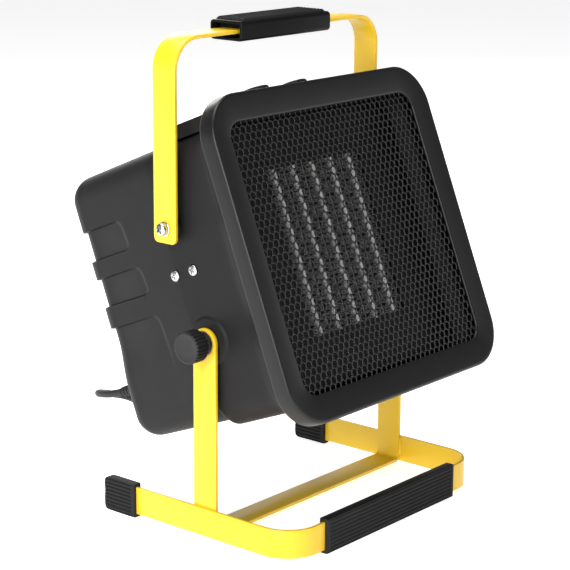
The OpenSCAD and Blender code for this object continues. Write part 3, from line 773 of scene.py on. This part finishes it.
# %% Housing skin
housing_rings = []
depths = [74, 70, 66, 62, 58, 54, 50, 46, 38, 20, 0, -9, -12, -14.6, -15.6, -22, -34, -46]
depths += [-48 - 1.5 * k for k in range(23)] + [-86, -92, -98, -104, -110, EDGE_R - BACK]
for d in depths:
    belly = 5.5 * smooth(-15, -9, d)
    ring = outline(housing_half_width(d), BOTTOM - belly, TOP, EDGE_R, 10, rises)
    housing_rings.append([on_body(x - math.copysign(band_depth(x, d, u), x), d, u) for x, u in ring])
ARC_STEPS = 12
for step in range(1, ARC_STEPS + 1):
    a = math.radians(90 * step / ARC_STEPS)
    inset = EDGE_R * (1 - math.cos(a))
    d = EDGE_R - BACK - EDGE_R * math.sin(a)
    ring = outline(114 - inset, BOTTOM + inset, TOP - inset, EDGE_R - inset, 10, rises)
    moved = []
    for x, u in ring:
        press = band_depth(x, d, u)
        moved.append(on_body(x - math.copysign(press * math.cos(a), x), d + press * math.sin(a), u))
    housing_rings.append(moved)
housing_rings.append([on_body(x, -BACK, u) for x, u in outline(86, -38, 138, 5, 10, rises)])
housing_shell = make_piece(
    "housing_shell", *loft(housing_rings, caps=(False, False)), housing_plastic, "heater",
    replaces=("housing",), sharp=30,
)
wall = housing_shell.modifiers.new("wall", "SOLIDIFY")
wall.thickness, wall.offset = 2.6 * MM, -1
print("housing faces:", len(housing_shell.data.polygons))

# %% Bosses behind the uprights and the handle
for side, word in ((-1, "left"), (1, "right")):
    out = (side, 0, 0)
    boss = [(0, 22), (0.4, 20.8), (1.1, 20.2), (1.5, 19.8), (1.6, 19.2), (1.6, 4.2), (0.5, 4.05), (-6, 4.05)]
    points, faces = turned(boss, on_body(side * 126, 0, 0), out, 72)
    make_piece("pivot_boss_" + word, points, faces[:-2], housing_plastic, "heater")

# %% [markdown]
# ## Front frame
#
# The frame is a square ring with one section all the way round: a short rim at the side, a crisp
# front edge and a flat face that steps down to the grille. The closed section is carried round the
# same kind of outline, so that every corner is exact.

# %% Front frame
FRAME_W, FRAME_LOW, FRAME_HIGH, FRAME_R = 146.5, -90.5, 190.5, 38
SECTION = [
    (9, 75.2), (18, 75.0), (18, 73.6), (1.3, 73.6), (0.5, 73.9), (0.15, 74.6), (0.0, 76), (0.0, 82),
    (0.15, 88.0), (0.4, 88.9), (0.9, 89.6), (1.6, 90.0), (2.4, 90.15), (3.5, 90.15), (12, 89.1),
    (20.4, 87.9), (21.4, 87.6), (22.1, 87.2), (22.5, 86.6),
    (22.6, 85.8), (22.6, 85.3), (21, 84.6), (18, 84.2), (12, 84),
]
frame_rings = []
for inset, d in SECTION:
    tall = inset * 24 / 22.5
    ring = outline(
        FRAME_W - inset, FRAME_LOW + tall, FRAME_HIGH - tall, FRAME_R - inset, 16, (0.25, 0.5, 0.75)
    )
    frame_rings.append([on_body(x, d, u) for x, u in ring])
make_piece(
    "front_frame", *loft(frame_rings, loop=True), bezel_plastic, "heater", replaces=("bezel",), sharp=60
)

# %% [markdown]
# ## Grille
#
# The grille is punched sheet with over a thousand round holes on a 7 mm triangular pitch. A boolean
# for each hole would be slow and messy. Each hole instead brings its own six-sided piece of sheet,
# which shares its corners with its neighbours, and a small rounded edge where the punch went in.

# %% Punched sheet
PITCH, SHEET_FRONT = 7.0, 85.3
HOLE_STEPS = [(3.28, 0.0), (3.16, -0.10), (3.04, -0.34), (3.0, -1.0)]
grille_points, grille_faces, shared = [], [], {}


def grille_point(x, d, u):
    key = (round(x, 2), round(d, 2), round(u, 2))
    if key not in shared:
        shared[key] = len(grille_points)
        grille_points.append(on_body(x, d, u))
    return shared[key]


rows = int(117 / (PITCH * math.sin(math.pi / 3)))
holes = 0
for row in range(-rows, rows + 1):
    u = 50 + row * PITCH * math.sin(math.pi / 3)
    shift = 0.5 * (row % 2)
    for column in range(-18, 19):
        x = (column + shift) * PITCH
        if abs(x) > 124:
            continue
        holes += 1
        rings = []
        directions = [math.radians(30 * k) for k in range(12)]
        edge = [PITCH / 2 if k % 2 == 0 else PITCH / math.sqrt(3) for k in range(12)]
        layers = [(None, 0.0)] + HOLE_STEPS + [(None, -1.0)]
        for radius, depth in layers:
            rings.append([
                grille_point(
                    x + (radius or edge[k]) * math.cos(a), SHEET_FRONT + depth,
                    u + (radius or edge[k]) * math.sin(a)
                )
                for k, a in enumerate(directions)
            ])
        for a, b in zip(rings, rings[1:]):
            grille_faces += [(a[k], a[(k + 1) % 12], b[(k + 1) % 12], b[k]) for k in range(12)]
make_piece(
    "punched_grille", grille_points, grille_faces, black_coat, "heater", replaces=("grille",), sharp=50
)
print("holes in the grille:", holes)

# %% [markdown]
# ## Heating element
#
# Behind the grille stand five flat tubes that hold the ceramic stones, with strips of folded
# aluminium between them. The strip touches a tube at every fold, which is how the heat gets out.
# Each strip is one thin ribbon that runs from side to side as it climbs.

# %% Folded strips
ELEMENT_HALF, ELEMENT_LOW, ELEMENT_HIGH, COLUMNS = 64, -22, 125, 5
COLUMN = 2 * ELEMENT_HALF / COLUMNS
TUBE_HALF, PLATE_HALF, FOLD, STRIP_T = 1.6, 0.7, 2.3, 0.2
strips = []
for column in range(COLUMNS):
    middle = -ELEMENT_HALF + (column + 0.5) * COLUMN
    for side in (-1, 1):
        inner, outer = middle + side * TUBE_HALF, middle + side * (COLUMN / 2 - PLATE_HALF)
        points, faces = [], []
        legs = int((ELEMENT_HIGH - ELEMENT_LOW) / FOLD)
        for k in range(legs + 1):
            x = inner if k % 2 == 0 else outer
            u = ELEMENT_LOW + FOLD * k
            points += [
                on_body(x, 57.6, u - STRIP_T), on_body(x, 57.6, u + STRIP_T),
                on_body(x, 36, u + STRIP_T), on_body(x, 36, u - STRIP_T),
            ]
            if k:
                a, b = 4 * (k - 1), 4 * k
                faces += [(a + m, a + (m + 1) % 4, b + (m + 1) % 4, b + m) for m in range(4)]
        strips.append((points, faces))
make_piece("folded_fins", *joined(*strips), fin_metal, "heater", replaces=("heater_fins",), sharp=20)

# %% Tubes and dividing plates
tubes, plates = [], []
for column in range(COLUMNS):
    middle = -ELEMENT_HALF + (column + 0.5) * COLUMN
    section = [
        (-1.5, 35), (-1.5, 57.8), (-1.2, 58.6), (-0.5, 59.1), (0.5, 59.1), (1.2, 58.6), (1.5, 57.8), (1.5, 35)
    ]
    tubes.append(loft([[on_body(middle + x, d, u) for x, d in section] for u in (ELEMENT_LOW, ELEMENT_HIGH)]))
for column in range(COLUMNS + 1):
    edge = -ELEMENT_HALF + column * COLUMN
    section = [(-0.6, 35), (-0.6, 56.6), (0.6, 56.6), (0.6, 35)]
    plates.append(loft([[on_body(edge + x, d, u) for x, d in section] for u in (ELEMENT_LOW, ELEMENT_HIGH)]))
make_piece("ceramic_tubes", *joined(*tubes), white_ceramic, "heater", replaces=("ptc_bars",))
make_piece("dividing_plates", *joined(*plates), fin_metal, "heater")
print("strips:", len(strips), "tubes:", len(tubes))

# %% [markdown]
# ## Clamp knobs
#
# A quarter turn of these frees the body so that it can be tilted. The flutes are for wet gloves.
# A turned shape with a radius that dips twenty-eight times round the rim gives them.

# %% Fluted clamp knobs
FLUTES = 28
CLAMP_PROFILE = [
    (0, 8.6), (0.4, 9), (6.0, 9), (6.8, 9.6), (7.1, 12.2), (7.5, 13.3), (8.2, 13.9), (9.2, 14), (19.6, 14),
    (20.6, 13.8), (21.2, 13.3), (21.5, 12.6), (21.5, 11.8), (21.3, 11.5), (21.25, 6), (21.2, 1),
]


def clamp_flutes(angle, along):
    """Round grooves on the rim only."""
    on_rim = smooth(7.4, 8.4, along) * (1 - 0.35 * smooth(21.0, 21.5, along)) * (along < 21.4)
    return 1 - 0.062 * on_rim * (0.5 + 0.5 * math.cos(FLUTES * angle)) ** 2


for side, word in ((-1, "left"), (1, "right")):
    make_piece(
        "clamp_grip_" + word,
        *turned(CLAMP_PROFILE, on_body(side * 133.5, 0, 0), (side, 0, 0), FLUTES * 8, clamp_flutes),
        knob_plastic, word + "_clamp", replaces=("clamp_knob_" + word,), sharp=44,
    )
print("clamp knobs:", FLUTES, "flutes each")

# %% [markdown]
# ## Screws and washers
#
# Small bright parts are what the eye checks first. A pan head is a low dome with a cross driven
# into it, and a spring washer is one split turn of square wire whose ends don't meet.


# %% Cross-head screws
def cross_head(start, axis, radius, height, spin=0.5, sides=72):
    """A pan head with a cross recess: rings of points from the rim to the middle."""
    axis = Vector(axis).normalized()
    helper = Vector((0, 0, 1)) if abs(axis.z) < 0.9 else Vector((1, 0, 0))
    a = axis.cross(helper).normalized()
    b = axis.cross(a)
    slot_half, slot_reach = 0.13 * radius, 0.58 * radius
    rings = [[(1.0, 0.0)] * sides, [(1.0, 0.25 * height)] * sides]
    shares = [0.97, 0.9, 0.8, 0.7, 0.62, 0.56, 0.5, 0.44, 0.38, 0.32, 0.27, 0.22, 0.18, 0.14, 0.1, 0.05]
    points = []
    for level, ring in enumerate(rings):
        for k in range(sides):
            angle = 2 * math.pi * k / sides
            points.append((radius * math.cos(angle), radius * math.sin(angle), ring[k][1]))
    for share in shares:
        dome = height * (0.25 + 0.75 * math.sqrt(max(1 - share**2.6, 0)))
        for k in range(sides):
            angle = 2 * math.pi * k / sides
            p, q = radius * share * math.cos(angle), radius * share * math.sin(angle)
            first, second = sorted((abs(p), abs(q)))
            inside = smooth(slot_half + 0.12, slot_half - 0.12, first) * smooth(
                slot_reach + 0.2, slot_reach - 0.2, second
            )
            points.append((p, q, dome - inside * 0.78 * height))
    turned_points = []
    for p, q, h in points:
        x = p * math.cos(spin) - q * math.sin(spin)
        y = p * math.sin(spin) + q * math.cos(spin)
        turned_points.append(start + MM * (x * a + y * b + h * axis))
    count = len(shares) + 2
    return loft([turned_points[i * sides : (i + 1) * sides] for i in range(count)])


def split_ring(start, axis, inner, outer, thick, rise, gap=12, sides=60):
    """A spring washer: a square section carried round most of a turn, climbing a little."""
    axis = Vector(axis).normalized()
    a = axis.cross(Vector((0, 0, 1))).normalized()
    b = axis.cross(a)
    rings = []
    for k in range(sides + 1):
        share = k / sides
        angle = math.radians(gap / 2 + (360 - gap) * share)
        out = math.cos(angle) * a + math.sin(angle) * b
        low = rise * share
        rings.append([
            start + MM * (r * out + h * axis)
            for r, h in ((inner, low), (outer, low), (outer, low + thick), (inner, low + thick))
        ])
    return loft(rings)


screws = []
for side in (-1, 1):
    for number, d in enumerate((-16, 6)):
        screws.append(cross_head(on_body(side * 126, d, 61), (side, 0, 0), 4.8, 2.5, 0.4 + number))
make_piece("side_screw_heads", *joined(*screws), zinc, "heater", replaces=("side_screws",), sharp=50)
collars = []
for side in (-1, 1):
    for d in (-16, 6):
        ring = [(0, 6.4), (0.25, 6.2), (0.3, 5.6), (-0.5, 5.2), (-0.5, 1)]
        collars.append(turned(ring, on_body(side * 126, d, 61), (side, 0, 0), 40))
make_piece("screw_seats", *joined(*collars), duct_plastic, "heater")
cover_screws = []
for x in (-84, 84):
    for u in (-37, 137):
        cover_screws.append(cross_head(on_body(x, -BACK - 3, u), -FORWARD, 3.4, 1.8, x + u))
make_piece(
    "cover_screw_heads", *joined(*cover_screws), zinc, "heater", replaces=("rear_cover_screws",), sharp=50
)

# %% Handle bolts
HANDLE_D, HANDLE_U, STRAP_X = -2, 101, 137.3
bolt_parts, flat_parts, spring_parts = [], [], []
for side in (-1, 1):
    out = (side, 0, 0)
    flat = [(0, 3.1), (0, 6.1), (0.15, 6.3), (1.05, 6.3), (1.2, 6.1), (1.2, 3.1)]
    flat_parts.append(turned(flat, on_body(side * STRAP_X, HANDLE_D, HANDLE_U), out, 48))
    spring_at = on_body(side * (STRAP_X + 1.2), HANDLE_D, HANDLE_U)
    spring_parts.append(split_ring(spring_at, out, 3.1, 5.3, 1.15, 0.45))
    shank = [(-10, 3), (0, 3), (1.0, 3)]
    bolt_parts.append(turned(shank, on_body(side * (STRAP_X + 1.0), HANDLE_D, HANDLE_U), out, 32))
    bolt_parts.append(cross_head(on_body(side * (STRAP_X + 2.8), HANDLE_D, HANDLE_U), out, 5.5, 4.0, 0.7))
make_piece("handle_bolt_heads", *joined(*bolt_parts), zinc, "heater", replaces=("handle_bolts",), sharp=50)
make_piece("bolt_flat_washers", *joined(*flat_parts), zinc, "heater", replaces=("handle_washers",))
make_piece("bolt_spring_washers", *joined(*spring_parts), zinc, "heater", replaces=("handle_spring_washers",))
print("screws:", len(screws) + len(cover_screws), "bolts: 2")

# %% [markdown]
# ## Carry grip
#
# Two hollow mouldings close round the bar, so both ends are open and the bar is seen going in. The
# rings of the loft run along the outside, over the rim and back inside as one skin. The pad on top
# has ribs along its length, which the palm feels but the fingers don't.

# %% Hollow grip
grip_low, grip_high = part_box("handle_grip")
GRIP_HALF = grip_high[0] / MM
grip_mid = ((grip_low[1] + grip_high[1]) / 2 - PIVOT.y) / MM
grip_base, grip_top = grip_low[2] / MM, grip_high[2] / MM
WALL, MOUTH = 2.6, 10


def grip_ring(x, inset, r):
    ring = outline(18 - inset, grip_base + inset, grip_top - inset, r, 6, (0.5,))
    return [on_stand(x, grip_mid + y, z) for y, z in ring]


half = [
    (GRIP_HALF - MOUTH, WALL + 0.3, 1.6), (GRIP_HALF - 0.8, WALL, 1.6), (GRIP_HALF - 0.15, WALL - 0.4, 1.8),
    (GRIP_HALF, WALL - 1.0, 2.4), (GRIP_HALF - 0.1, 0.8, 3.0), (GRIP_HALF - 0.5, 0.2, 3.4),
    (GRIP_HALF - 1.2, 0, 3.5),
]
stations = [(-x, inset, r) for x, inset, r in half] + [(x, inset, r) for x, inset, r in reversed(half)]
make_piece(
    "carry_grip", *loft([grip_ring(*station) for station in stations]), grip_plastic, "handle",
    replaces=("handle_grip",), sharp=34,
)

# %% Ribbed pad
PAD_HALF, PAD_W, PAD_RIBS = 55, 15, 8


def pad_ring(x, lift):
    count = PAD_RIBS * 8
    top_line = []
    for k in range(count + 1):
        share = k / count
        swell = 0.5 - 0.5 * math.cos(2 * math.pi * PAD_RIBS * share)
        top_line.append((PAD_W - 2 * PAD_W * share, lift * (1.5 + 1.2 * swell)))
    whole = [(PAD_W + 0.3, 0)] + top_line + [(-PAD_W - 0.3, 0)]
    return [on_stand(x, grip_mid + y, grip_top - 0.3 + z) for y, z in whole]


pad_stations = [
    (-1, 0.15), (-0.995, 0.6), (-0.985, 0.9), (-0.97, 1), (0, 1),
    (0.97, 1), (0.985, 0.9), (0.995, 0.6), (1, 0.15),
]
make_piece(
    "grip_ribs", *loft([pad_ring(x * PAD_HALF, lift) for x, lift in pad_stations]), foot_rubber, "handle",
    replaces=("grip_pad",), sharp=60,
)
print("grip", 2 * GRIP_HALF, "mm long")

# %% [markdown]
# ## Controls
#
# The thermostat and the heat selector sit on a raised panel behind the front frame. Each knob has a
# skirt, a fluted grip and a pointer, and the marks round it are small printed dots that grow with
# the setting, so no lettering is needed.

# %% Control knobs
softened("control_panel", "control_deck", housing_plastic, "heater", 1.2, 3)
pointer_paint = moulding(
    "pointer_paint", "knob_plastic", (0.78, 0.78, 0.76), (0.70, 0.70, 0.68), 1500, 0.00003, 0.5, 0.4
)
DIAL_X, DIAL_D, PANEL_U, DIAL_FLUTES = 26, 41, 182, 18
DIAL_PROFILE = [
    (0, 15.4), (0.4, 16), (2.4, 16), (3.2, 15.5), (3.6, 13.8), (4.2, 13.2), (5.5, 12.9),
    (13.8, 12.4), (15.0, 12.0),
    (15.7, 11.2), (16, 10.2), (16, 2),
]


def dial_flutes(angle, along):
    groove = (0.5 + 0.5 * math.cos(DIAL_FLUTES * angle)) ** 3
    return 1 - 0.07 * smooth(4, 5.5, along) * smooth(15.6, 14.4, along) * groove


for x, word, turn_at in ((-DIAL_X, "thermostat", 40), (DIAL_X, "selector", 0)):
    body = word + "_control"
    start = on_body(x, DIAL_D, PANEL_U + 1)
    make_piece(
        word + "_dial", *turned(DIAL_PROFILE, start, UP, DIAL_FLUTES * 8, dial_flutes), knob_plastic, body,
        replaces=(word + "_knob",), sharp=44,
    )
    way = math.radians(turn_at)
    ahead = Vector((math.sin(way), math.cos(way)))
    aside = Vector((math.cos(way), -math.sin(way)))
    bar = []
    for along, half_w, lift in ((3.5, 0.7, 16.0), (3.8, 0.8, 16.25), (9.8, 0.9, 16.25), (10.1, 0.8, 16.0)):
        flat = [ahead * along + aside * s * half_w for s in (-1, 1)]
        low = [on_body(x + f.x, DIAL_D + f.y, PANEL_U + 1 + 15.6) for f in flat]
        high = [on_body(x + f.x, DIAL_D + f.y, PANEL_U + 1 + lift) for f in flat]
        bar.append([low[0], low[1], high[1], high[0]])
    make_piece(word + "_pointer", *loft(bar), pointer_paint, body)

dots = []
for x, count, first, last, grow in ((-DIAL_X, 10, -135, 135, 0.07), (DIAL_X, 4, -67.5, 67.5, 0.22)):
    for k in range(count):
        angle = math.radians(first + (last - first) * k / (count - 1))
        spot = on_body(x + 20 * math.sin(angle), DIAL_D + 20 * math.cos(angle), PANEL_U)
        profile = [(-0.3, 0.7 + grow * k), (0.05, 0.7 + grow * k), (0.12, 0.5 + grow * k)]
        dots.append(turned(profile, spot, UP, 20))
make_piece("dial_dots", *joined(*dots), pointer_paint, "heater")
print("dial dots:", len(dots))

# %% [markdown]
# ## Fan
#
# The fan is seen through the slots at the back. Its blades are twisted, steep at the hub and flat
# at the tip, because the tip moves faster. Each blade is a thin section lofted along its radius.

# %% Impeller
FAN_SPAN = [19, 28, 38, 48, 58, 66, 71.5]
blades = []
for number in range(7):
    base_angle = 2 * math.pi * number / 7
    rings = []
    for radius in FAN_SPAN:
        share = (radius - FAN_SPAN[0]) / (FAN_SPAN[-1] - FAN_SPAN[0])
        pitch = math.radians(52 - 26 * share)
        chord = 17 + 15 * math.sin(math.pi * (0.25 + 0.5 * share))
        sweep = base_angle + 0.25 * share * share
        out = Vector((math.cos(sweep), math.sin(sweep)))
        ahead = Vector((-math.sin(sweep), math.cos(sweep)))
        ring = []
        for t, side in ((-0.5, 0), (-0.2, 1), (0.2, 1), (0.5, 0), (0.2, -1), (-0.2, -1)):
            camber = 2.2 * (1 - 4 * t * t)
            along, thick = chord * t, 0.75 * side + camber
            move = along * math.cos(pitch) - thick * math.sin(pitch)
            depth = along * math.sin(pitch) + thick * math.cos(pitch)
            flat = out * radius + ahead * move
            ring.append(on_body(flat.x, -32 + depth * 0.8, 50 + flat.y))
        rings.append(ring)
    blades.append(loft(rings))
hub_profile = [(0, 17), (0.6, 19), (2, 20), (22, 20), (24, 18.5), (24.4, 16), (24.4, 4)]
hub = turned(hub_profile, on_body(0, -44, 50), FORWARD, 64)
make_piece("fan_blades", *joined(hub, *blades), fan_plastic, "fan", replaces=("fan_impeller",), sharp=45)
print("fan blades:", len(blades))

# %% [markdown]
# ## Everything else
#
# The remaining parts are right as the engineering model has them. Those with visible edges get a
# bevelled copy, and the small inner ones take their finish directly.

# %% Finishes for the other parts
BY_SLOT = {
    "yellow_steel": yellow_coat, "black_steel": black_coat, "housing_plastic": housing_plastic,
    "bezel_plastic": bezel_plastic, "knob_plastic": knob_plastic, "duct_plastic": duct_plastic,
    "impeller_plastic": fan_plastic, "black_rubber": foot_rubber, "cord_rubber": cord_sheath, "fibre": nylon,
    "insulator": phenolic, "wire_cover": wire_sleeve, "ceramic": white_ceramic, "zinc_steel": zinc,
    "steel_shaft": shaft_steel, "fin_aluminium": fin_metal, "motor_steel": motor_can,
}
slots = {part["node"]: part["material_slot"] for part in frame["record"]["subparts"]}
for node, obj in frame["nodes"].items():
    finish = BY_SLOT[slots[node]]
    for place in obj.material_slots:
        place.material = finish.material
    if not obj.material_slots:
        obj.data.materials.append(finish.material)
softened("rear_cover", "rear_grille", housing_plastic, "heater", 0.5)
softened("weld_beads", "weld_fillets", yellow_coat, "stand", 0.5, angle=20)
print("parts finished:", len(slots))
